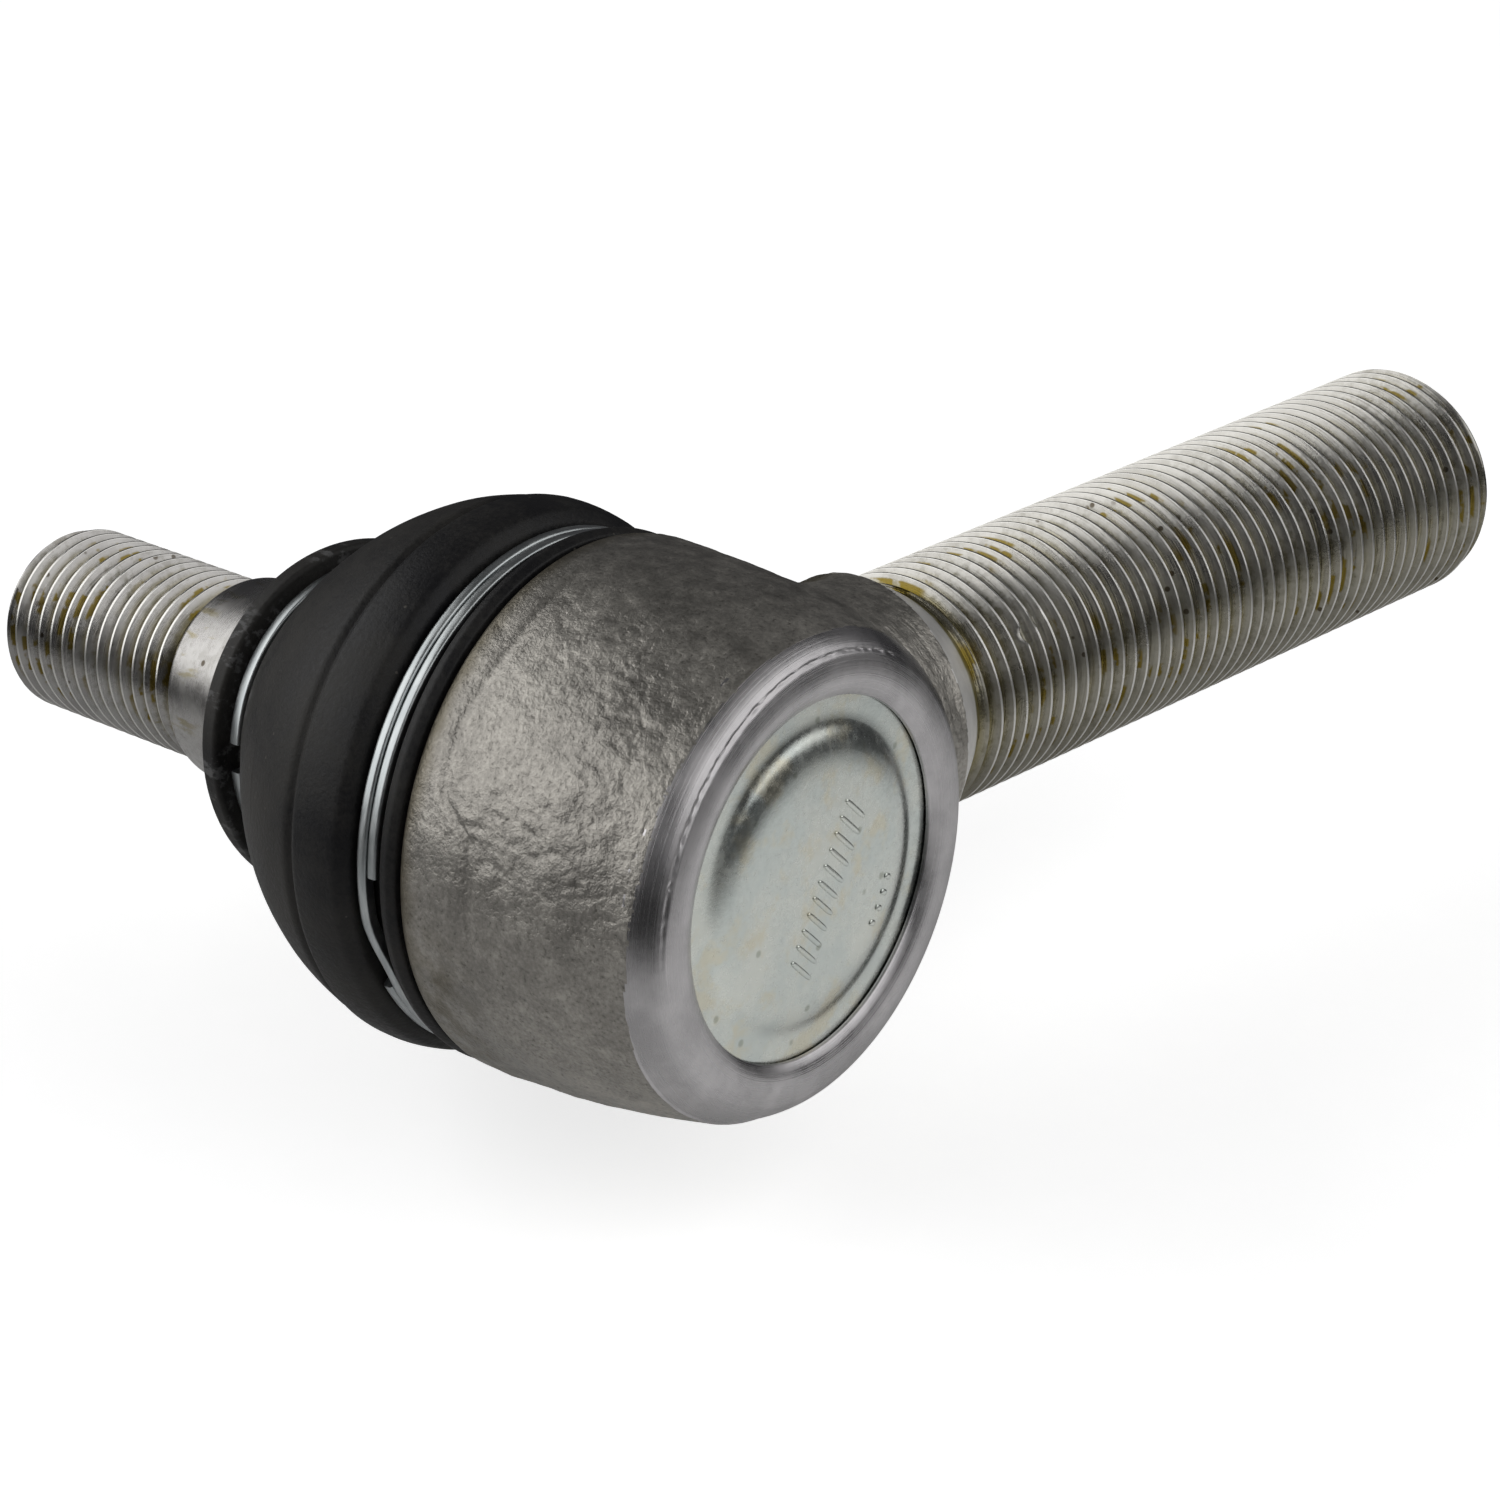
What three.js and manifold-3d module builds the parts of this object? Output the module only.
// Rod end bearing: a sealed ball joint with a threaded shank and a tapered, threaded ball stud.
// Units are millimetres. +X runs along the shank, +Y is the middle position of the stud, and the end
// cap closes the eye on its -Y side. Every piece is drawn round the centre of the ball, and the
// finished part is then moved so that its origin is the centre of the shank's end face.

import * as THREE from 'three';
import { mergeVertices } from 'three/addons/utils/BufferGeometryUtils.js';
import Module from 'manifold-3d';

// ---------------------------------------------------------------- driving dimensions

const ROUND_SEGMENTS = 36;        // sides of a turned part
const SEAT_SEGMENTS = 28;         // sides of the pieces inside the eye
const THREAD_SEGMENTS = 12;       // sides of one turn of thread
const GAP = 0.3;                  // clearance between pieces that rest on each other
const RUNNING_GAP = 0.08;         // clearance of the ball in its seats

const PITCH = 1.5;                // both threads are 1.5 mm fine threads
const THREAD_DEPTH = 0.613 * PITCH;
const THREAD_BLANK_EXTRA = 0.4;   // the blank stands proud of the crests it trims

const STUD_REST_X = THREE.MathUtils.degToRad(-5);     // how the stud leans at rest: about +X,
const STUD_REST_Z = THREE.MathUtils.degToRad(-11);    // and about its own +Z

const BALL_R = 11;
const BALL_FLAT_Y = -10.2;        // flat on the pole under the ball
const STUD_NECK_R = 6.1;
const TAPER_BIG_Y = 24;           // the 1:8 taper runs from here
const TAPER_END_Y = 42.5;         // to here
const TAPER_END_R = 7.75;
const TAPER_RATE = 1 / 16;        // change of radius for each millimetre of length
const STUD_THREAD_R = 7;          // M14
const STUD_THREAD_Y = 44.3;
const STUD_END_Y = 65;

const SHANK_R = 9;                // M18
const SHANK_THREAD_X = 30.2;
const SHANK_END_X = 97.2;
const NECK_R = 10.7;              // forged neck between the eye and the thread
const NECK_Y = -0.6;              // the forging sits a little off the shank's axis
const NECK_CHAMFER_X = 25;
const NECK_CHAMFER_R = 11;

const EYE_R = 19.4;
const EYE_TOP_Y = 9.6;            // mouth of the eye
const SPIGOT_R = 15.9;            // spigot that carries the boot
const SPIGOT_SHOULDER_Y = 3.6;
const BOOT_RELIEF_R = 20.4;       // the neck is cut back to here beside the boot
const BORE_R = 13.3;
const BORE_TOP_Y = 6.8;           // the upper seat bears here
const MOUTH_R = 10.9;
const MOUTH_FLARE_R = 12.4;
const CAP_STEP_Y = -14.4;         // the end cap rests on this step
const CAP_BORE_R = 15;
const CAP_FACE_Y = -16.5;
const LIP_OPENING_R = 13;         // opening of the rolled lip over the cap
const LIP_CREST_Y = -17.4;

const CAP_R = CAP_BORE_R - 0.2;
const CAP_DISH_R = 11.06;         // foot of the raised centre
const CAP_PLATEAU_R = 9.6;
const CAP_PLATEAU_Y = -17.35;
const CAP_THICKNESS = 1.5;

const SEAT_R = BORE_R - 0.12;     // outer radius of both ball seats
const SEAT_SPHERE_R = BALL_R + RUNNING_GAP;
const SEAT_SPLIT = 0.6;           // half of the space between the two seats
const LOWER_SEAT_BOTTOM_Y = -12.4;
const LOWER_SEAT_HOLE_R = 4.2;

const SPRING_WIRE_R = 0.6;
const SPRING_TURNS = 2.6;
const SPRING_BIG_R = 8.3;
const SPRING_SMALL_R = 4.9;

const SEAL_R = 14.1;              // mid radius of the rubber ring under the cap
const SEAL_WIDTH = 0.8;
const SEAL_HEIGHT = 0.5;

const RING_THICKNESS = 0.9;       // flat wire of both boot rings
const LARGE_RING_R = 17.8;        // inner radius
const LARGE_RING_LANES_Y = [7.32, 6.36];
const LARGE_RING_WIDTH = 0.84;
const LARGE_RING_ANGLES = [-147, 193, 209, 543];      // start, crossing from, crossing to, end
const SMALL_RING_R = 11.2;
const SMALL_RING_Y = 28.5;
const SMALL_RING_WIDTH = 1;
const SMALL_RING_ANGLES = [-176, 174];

const BOOT_BEND_FROM_Y = 8.2;     // below this the boot stays with the eye
const BOOT_BEND_TO_Y = 25.5;      // above this it leans with the stud
const BOOT_BORE_R = SPIGOT_R + GAP;
const BOOT_TOP_Y = 31.1;
const COLLAR_CLEARANCE = 0.35;

// ---------------------------------------------------------------- finishes

function finish(color, roughness, metalness) {
  return new THREE.MeshStandardMaterial({ color, roughness, metalness });
}

const FORGED_STEEL = [0x77736d, 0.62, 0.85];
const BRIGHT_STEEL = [0xa9a69e, 0.32, 1];
const ZINC = [0xb4b9b0, 0.3, 1];
const ACETAL = [0xd9d6cb, 0.5, 0];
const SPRING_STEEL = [0x55585c, 0.4, 1];
const BLACK_RUBBER = [0x1c1c1d, 0.75, 0];

// ---------------------------------------------------------------- geometry helpers

const wasm = await Module();
wasm.setup();

// Joins vertices that share a place, and leaves out the faces that this makes flat.
function weld(geometry) {
  const bare = new THREE.BufferGeometry();
  bare.setAttribute('position', geometry.getAttribute('position').clone());
  if (geometry.index) {
    bare.setIndex(geometry.index.clone());
  }
  const welded = mergeVertices(bare, 1e-4);
  const index = welded.index.array;
  const kept = [];
  for (let i = 0; i < index.length; i += 3) {
    const [a, b, c] = index.slice(i, i + 3);
    if (a !== b && b !== c && c !== a) {
      kept.push(a, b, c);
    }
  }
  welded.setIndex(kept);
  return welded;
}

function signedVolume(geometry) {
  const position = geometry.getAttribute('position');
  const [a, b, c] = [new THREE.Vector3(), new THREE.Vector3(), new THREE.Vector3()];
  const index = geometry.index.array;
  let volume = 0;
  for (let i = 0; i < index.length; i += 3) {
    a.fromBufferAttribute(position, index[i]);
    b.fromBufferAttribute(position, index[i + 1]);
    c.fromBufferAttribute(position, index[i + 2]);
    volume += a.dot(b.cross(c)) / 6;
  }
  return volume;
}

// One closed body with its faces pointing out.
function closedBody(geometry) {
  const body = weld(geometry);
  if (signedVolume(body) < 0) {
    body.setIndex(Array.from(body.index.array).reverse());
  }
  return body;
}

function toSolid(geometry) {
  const body = closedBody(geometry);
  return new wasm.Manifold(new wasm.Mesh({
    numProp: 3,
    vertProperties: new Float32Array(body.getAttribute('position').array),
    triVerts: new Uint32Array(body.index.array),
  }));
}

function toGeometry(solid) {
  const mesh = solid.getMesh();
  const geometry = new THREE.BufferGeometry();
  geometry.setAttribute('position', new THREE.Float32BufferAttribute(mesh.vertProperties, 3));
  geometry.setIndex(Array.from(mesh.triVerts));
  return geometry;
}

// A body turned about +Y from a profile of [radius, height] points.
function turned(profile, segments = ROUND_SEGMENTS) {
  return new THREE.LatheGeometry(profile.map(([r, y]) => new THREE.Vector2(r, y)), segments);
}

// A ring turned about +Y from a closed profile.
function turnedRing(profile, segments = ROUND_SEGMENTS) {
  return turned([...profile, profile[0]], segments);
}

// Lays a body that was turned about +Y along +X.
function alongX(geometry) {
  return geometry.rotateZ(-Math.PI / 2);
}

// Points on a sphere's profile, from one height to another.
function spherePoints(radius, fromY, toY, steps) {
  const from = Math.asin(fromY / radius);
  const to = Math.asin(toY / radius);
  return Array.from({ length: steps + 1 }, (_, i) => {
    const angle = from + (to - from) * i / steps;
    return [radius * Math.cos(angle), radius * Math.sin(angle)];
  });
}

// A long bar along +Y with a right-hand thread from end to end.
function threadedBar(majorR, fromY, toY) {
  const rootR = majorR - THREAD_DEPTH;
  const turn = [[0, rootR], [0.4, majorR], [0.6, majorR]];
  const columns = Math.ceil((toY - fromY) / PITCH) * turn.length;
  const rise = (j, i) => (Math.floor(j / turn.length) + turn[j % turn.length][0]
    + i / THREAD_SEGMENTS) * PITCH;
  const positions = [];
  for (let i = 0; i < THREAD_SEGMENTS; i += 1) {
    const angle = -2 * Math.PI * i / THREAD_SEGMENTS;
    for (let j = 0; j <= columns; j += 1) {
      const r = turn[j % turn.length][1];
      positions.push(r * Math.cos(angle), fromY + rise(j, i), r * Math.sin(angle));
    }
  }
  const at = (i, j) => (i === THREAD_SEGMENTS ? j + turn.length : i * (columns + 1) + j);
  const index = [];
  for (let i = 0; i < THREAD_SEGMENTS; i += 1) {
    const last = i === THREAD_SEGMENTS - 1 ? columns - turn.length : columns;
    for (let j = 0; j < last; j += 1) {
      index.push(at(i, j), at(i, j + 1), at(i + 1, j + 1), at(i, j), at(i + 1, j + 1), at(i + 1, j));
    }
  }
  capRaggedEnd(positions, index, lowEdge(at, turn.length), fromY);
  capRaggedEnd(positions, index, highEdge(at, turn.length, columns), fromY + rise(columns, 0));
  const bar = new THREE.BufferGeometry();
  bar.setAttribute('position', new THREE.Float32BufferAttribute(positions, 3));
  bar.setIndex(index);
  return bar;
}

// The open edge of a threaded bar climbs one pitch, then steps back down along the seam.
function lowEdge(at, perTurn) {
  const edge = [];
  for (let i = 0; i < THREAD_SEGMENTS; i += 1) {
    edge.push(at(i, 0));
  }
  for (let j = perTurn; j > 0; j -= 1) {
    edge.push(at(0, j));
  }
  return edge;
}

function highEdge(at, perTurn, columns) {
  const edge = [at(0, columns)];
  for (let j = columns - perTurn; j <= columns; j += 1) {
    edge.push(at(THREAD_SEGMENTS - 1, j));
  }
  for (let i = THREAD_SEGMENTS - 2; i > 0; i -= 1) {
    edge.push(at(i, columns));
  }
  return edge;
}

function capRaggedEnd(positions, index, edge, centreY) {
  const centre = positions.length / 3;
  positions.push(0, centreY, 0);
  edge.forEach((vertex, k) => {
    index.push(centre, vertex, edge[(k + 1) % edge.length]);
  });
}

// A thread cut on a turned blank: the blank's own profile sets the chamfers at its ends.
function threadOn(blankProfile, majorR) {
  const low = blankProfile[0][1];
  const high = blankProfile[blankProfile.length - 1][1];
  const bar = toSolid(threadedBar(majorR, low - 2 * PITCH, high + 3 * PITCH));
  return toSolid(turned(blankProfile)).intersect(bar);
}

// A section of [out, up] points swept about +Y, at the radius and height that place() gives.
function coiled(section, fromDeg, toDeg, steps, place) {
  const positions = [];
  const index = [];
  const n = section.length;
  for (let i = 0; i <= steps; i += 1) {
    const part = i / steps;
    const degrees = fromDeg + (toDeg - fromDeg) * part;
    const angle = THREE.MathUtils.degToRad(degrees);
    const [radius, height] = place(degrees, part);
    for (const [out, up] of section) {
      positions.push((radius + out) * Math.cos(angle), height + up, (radius + out) * Math.sin(angle));
    }
  }
  for (let i = 0; i < steps; i += 1) {
    for (let k = 0; k < n; k += 1) {
      const [a, b] = [i * n + k, i * n + (k + 1) % n];
      index.push(a, a + n, b + n, a, b + n, b);
    }
  }
  for (let k = 1; k < n - 1; k += 1) {
    index.push(0, k, k + 1);
    index.push(steps * n, steps * n + k + 1, steps * n + k);
  }
  const geometry = new THREE.BufferGeometry();
  geometry.setAttribute('position', new THREE.Float32BufferAttribute(positions, 3));
  geometry.setIndex(index);
  return geometry;
}

function flatWire(width) {
  const half = width / 2;
  return [[0, -half], [RING_THICKNESS, -half], [RING_THICKNESS, half], [0, half]];
}

// ---------------------------------------------------------------- the stud's lean at rest

const STUD_LEAN = new THREE.Quaternion()
  .setFromAxisAngle(new THREE.Vector3(1, 0, 0), STUD_REST_X)
  .multiply(new THREE.Quaternion().setFromAxisAngle(new THREE.Vector3(0, 0, 1), STUD_REST_Z));

function leanedGroup() {
  const group = new THREE.Group();
  group.quaternion.copy(STUD_LEAN);
  return group;
}

// Turns each point of the boot about the ball's centre, more the nearer it is to the stud's collar.
function bentWithStud(geometry) {
  const bent = geometry.clone();
  const position = bent.getAttribute('position');
  const point = new THREE.Vector3();
  for (let i = 0; i < position.count; i += 1) {
    point.fromBufferAttribute(position, i);
    const share = THREE.MathUtils.smoothstep(point.y, BOOT_BEND_FROM_Y, BOOT_BEND_TO_Y);
    point.applyQuaternion(new THREE.Quaternion().slerp(STUD_LEAN, share));
    position.setXYZ(i, point.x, point.y, point.z);
  }
  return bent;
}

// ---------------------------------------------------------------- the pieces

function eyeOutside() {
  return turned([
    [0, EYE_TOP_Y], [SPIGOT_R - 0.6, EYE_TOP_Y], [SPIGOT_R, EYE_TOP_Y - 0.6],
    [SPIGOT_R, SPIGOT_SHOULDER_Y], [EYE_R - 0.5, SPIGOT_SHOULDER_Y], [EYE_R - 0.05, 2.9],
    [EYE_R, -1], [19.25, -4.5], [18.9, -8.5], [18.4, -12], [17.9, -14.3],
    [17.35, -14.9], [17.15, -15.9], [16.75, -16.7], [16.1, -17.15], [15.2, LIP_CREST_Y],
    [0, LIP_CREST_Y],
  ]);
}

function eyeInside() {
  return turned([
    [0, EYE_TOP_Y + 1], [MOUTH_FLARE_R + 0.5, EYE_TOP_Y + 1], [MOUTH_R, BORE_TOP_Y],
    [BORE_R, BORE_TOP_Y], [BORE_R, CAP_STEP_Y], [CAP_BORE_R, CAP_STEP_Y],
    [CAP_BORE_R, CAP_FACE_Y - 0.1], [LIP_OPENING_R, CAP_FACE_Y - 0.1],
    [LIP_OPENING_R, -16.8], [14, -17.25], [14.9, LIP_CREST_Y - 0.05], [14.9, LIP_CREST_Y - 1],
    [0, LIP_CREST_Y - 1],
  ]);
}

function neckOutside() {
  const forged = turned([
    [0, 6], [13.6, 6], [13.6, 14.5], [12.9, 16.5], [12, 18.6], [11.3, 21], [NECK_R, 24.4],
    [NECK_R, 31], [0, 31],
  ]);
  const chamfer = turned([
    [0, 5], [NECK_CHAMFER_R + 4, 5], [NECK_CHAMFER_R + 4, 17], [NECK_CHAMFER_R, NECK_CHAMFER_X],
    [SHANK_R - 0.6, SHANK_THREAD_X], [SHANK_R - THREAD_DEPTH - 0.1, SHANK_THREAD_X + 0.7],
    [0, SHANK_THREAD_X + 0.7],
  ]);
  return toSolid(alongX(forged).translate(0, NECK_Y, 0)).intersect(toSolid(alongX(chamfer)));
}

// Space for the boot and its rings, which the neck leaves free.
function bootRelief() {
  return turned([
    [0, SPIGOT_SHOULDER_Y], [BOOT_RELIEF_R, SPIGOT_SHOULDER_Y], [BOOT_RELIEF_R + 1.2, 15], [0, 15],
  ]);
}

function forgedHousing() {
  const proud = SHANK_R + THREAD_BLANK_EXTRA;
  const thread = threadOn([
    [0, 28], [SHANK_R - 1.2, 28], [SHANK_R - 1.2, 29.8], [proud, 31.6], [proud, SHANK_END_X - 1.7],
    [SHANK_R - 0.6, SHANK_END_X], [0, SHANK_END_X],
  ], SHANK_R);
  const shank = toSolid(alongX(toGeometry(thread)));
  const neck = neckOutside().subtract(toSolid(bootRelief()));
  return toGeometry(toSolid(eyeOutside()).add(neck).add(shank).subtract(toSolid(eyeInside())));
}

function ballStud() {
  const taperR = (y) => TAPER_END_R + (TAPER_END_Y - y) * TAPER_RATE;
  const neckY = Math.sqrt(BALL_R ** 2 - STUD_NECK_R ** 2);
  const threadRootR = STUD_THREAD_R - THREAD_DEPTH;
  const body = turned([
    [0, BALL_FLAT_Y], ...spherePoints(BALL_R, BALL_FLAT_Y, neckY, 14),
    [STUD_NECK_R, 12.5], [7.4, 17.5], [taperR(22.5) - 0.6, 22.5], [taperR(TAPER_BIG_Y), TAPER_BIG_Y],
    [TAPER_END_R, TAPER_END_Y], [threadRootR - 0.05, STUD_THREAD_Y], [0, STUD_THREAD_Y],
  ]);
  const proud = STUD_THREAD_R + THREAD_BLANK_EXTRA;
  const thread = threadOn([
    [0, STUD_THREAD_Y - 1.2], [threadRootR - 0.2, STUD_THREAD_Y - 1.2],
    [threadRootR - 0.2, STUD_THREAD_Y - 0.4], [proud, STUD_THREAD_Y + 1.1], [proud, STUD_END_Y - 1.3],
    [STUD_THREAD_R - 0.55, STUD_END_Y], [0, STUD_END_Y],
  ], STUD_THREAD_R);
  return toGeometry(toSolid(body).add(thread));
}

function upperBallSeat() {
  const sphere = spherePoints(SEAT_SPHERE_R, SEAT_SPLIT, 5.6, 6);
  const mouth = BORE_TOP_Y - 0.1;
  return turnedRing([
    [SEAT_R, SEAT_SPLIT], ...sphere, [sphere.at(-1)[0] + 0.4, mouth], [SEAT_R, mouth],
  ], SEAT_SEGMENTS);
}

function lowerBallSeat() {
  const sphere = spherePoints(SEAT_SPHERE_R, -SEAT_SPLIT, -10.25, 8);
  return turnedRing([
    [SEAT_R, -SEAT_SPLIT], ...sphere, [LOWER_SEAT_HOLE_R, LOWER_SEAT_BOTTOM_Y],
    [9.8, LOWER_SEAT_BOTTOM_Y], [11.6, -10.6], [SEAT_R, -9.2],
  ], SEAT_SEGMENTS);
}

function thrustSpring() {
  const wire = Array.from({ length: 8 }, (_, k) => {
    const angle = k * Math.PI / 4;
    return [SPRING_WIRE_R * Math.cos(angle), SPRING_WIRE_R * Math.sin(angle)];
  });
  const low = CAP_PLATEAU_Y + CAP_THICKNESS + 0.15 + SPRING_WIRE_R;
  const high = LOWER_SEAT_BOTTOM_Y - 0.15 - SPRING_WIRE_R;
  return coiled(wire, 0, 360 * SPRING_TURNS, 44, (_, part) => [
    THREE.MathUtils.lerp(SPRING_BIG_R, SPRING_SMALL_R, part),
    THREE.MathUtils.lerp(low, high, part),
  ]);
}

function endCap() {
  const innerFace = CAP_FACE_Y + CAP_THICKNESS;
  const innerPlateau = CAP_PLATEAU_Y + CAP_THICKNESS;
  return turned([
    [0, CAP_PLATEAU_Y], [CAP_PLATEAU_R - 0.3, CAP_PLATEAU_Y], [CAP_PLATEAU_R + 0.5, -17.2],
    [CAP_DISH_R - 0.3, -16.65], [CAP_DISH_R, CAP_FACE_Y], [CAP_R, CAP_FACE_Y], [CAP_R, innerFace],
    [CAP_DISH_R - 0.9, innerFace], [CAP_PLATEAU_R - 0.4, innerPlateau], [0, innerPlateau],
  ]);
}

function capSealRing() {
  const middle = (CAP_STEP_Y + CAP_FACE_Y + CAP_THICKNESS) / 2;
  const section = [[-1, 0], [-0.6, -1], [0.6, -1], [1, 0], [0.6, 1], [-0.6, 1]];
  return turnedRing(section.map(([out, up]) => [
    SEAL_R + out * SEAL_WIDTH / 2, middle + up * (SEAL_HEIGHT / 2 - 0.02),
  ]), SEAT_SEGMENTS);
}

function dustBoot() {
  const collarR = (y) => TAPER_END_R + (TAPER_END_Y - y) * TAPER_RATE + COLLAR_CLEARANCE;
  const ringFloor = LARGE_RING_R - GAP;
  const outside = [
    [BOOT_BORE_R, 3.9], [19, 3.9], [19.3, 4.6], [19.05, 5.3], [ringFloor, 5.5], [ringFloor, 8.05],
    [18.8, 8.15], [19.6, 8.9], [19.9, 10.6], [19.75, 12.3], [19.45, 12.8], [19.5, 13.3], [18.9, 16],
    [17.7, 19], [16.1, 22], [14.1, 25], [12.4, 27.2], [SMALL_RING_R - GAP, 27.7],
    [SMALL_RING_R - GAP, 29.3], [12.9, 29.5], [13.15, 30.2], [12.9, BOOT_TOP_Y],
  ];
  const inside = [
    [collarR(BOOT_TOP_Y), BOOT_TOP_Y], [collarR(25.4), 25.4], [10.2, 24.6], [12.2, 23.4],
    [14.4, 20.8], [15.9, 18], [16.9, 15.4], [17.4, 12.8], [17.7, 10.9], [17.2, 9.7],
    [BOOT_BORE_R, 8.7],
  ];
  return bentWithStud(turnedRing([...outside, ...inside]));
}

function largeBootRing() {
  const [start, crossFrom, crossTo, end] = LARGE_RING_ANGLES;
  const [upper, lower] = LARGE_RING_LANES_Y;
  return coiled(flatWire(LARGE_RING_WIDTH), start, end, 72, (degrees) => [
    LARGE_RING_R,
    THREE.MathUtils.lerp(upper, lower, THREE.MathUtils.smoothstep(degrees, crossFrom, crossTo)),
  ]);
}

function smallBootRing() {
  const [start, end] = SMALL_RING_ANGLES;
  return coiled(flatWire(SMALL_RING_WIDTH), start, end, 36, () => [SMALL_RING_R, SMALL_RING_Y]);
}

// ---------------------------------------------------------------- the assembly

function addPiece(parent, name, geometry, look) {
  const mesh = new THREE.Mesh(closedBody(geometry), finish(...look));
  mesh.name = name;
  parent.add(mesh);
}

const rodEnd = new THREE.Group();
rodEnd.position.x = -SHANK_END_X;
addPiece(rodEnd, 'forged_housing', forgedHousing(), FORGED_STEEL);
addPiece(rodEnd, 'upper_ball_seat', upperBallSeat(), ACETAL);
addPiece(rodEnd, 'lower_ball_seat', lowerBallSeat(), ACETAL);
addPiece(rodEnd, 'thrust_spring', thrustSpring(), SPRING_STEEL);
addPiece(rodEnd, 'cap_seal_ring', capSealRing(), BLACK_RUBBER);
addPiece(rodEnd, 'end_cap', endCap(), ZINC);
addPiece(rodEnd, 'dust_boot', dustBoot(), BLACK_RUBBER);
addPiece(rodEnd, 'large_boot_ring', largeBootRing(), ZINC);

const leaned = leanedGroup();
addPiece(leaned, 'ball_stud', ballStud(), BRIGHT_STEEL);
addPiece(leaned, 'small_boot_ring', smallBootRing(), ZINC);
rodEnd.add(leaned);

export default rodEnd;
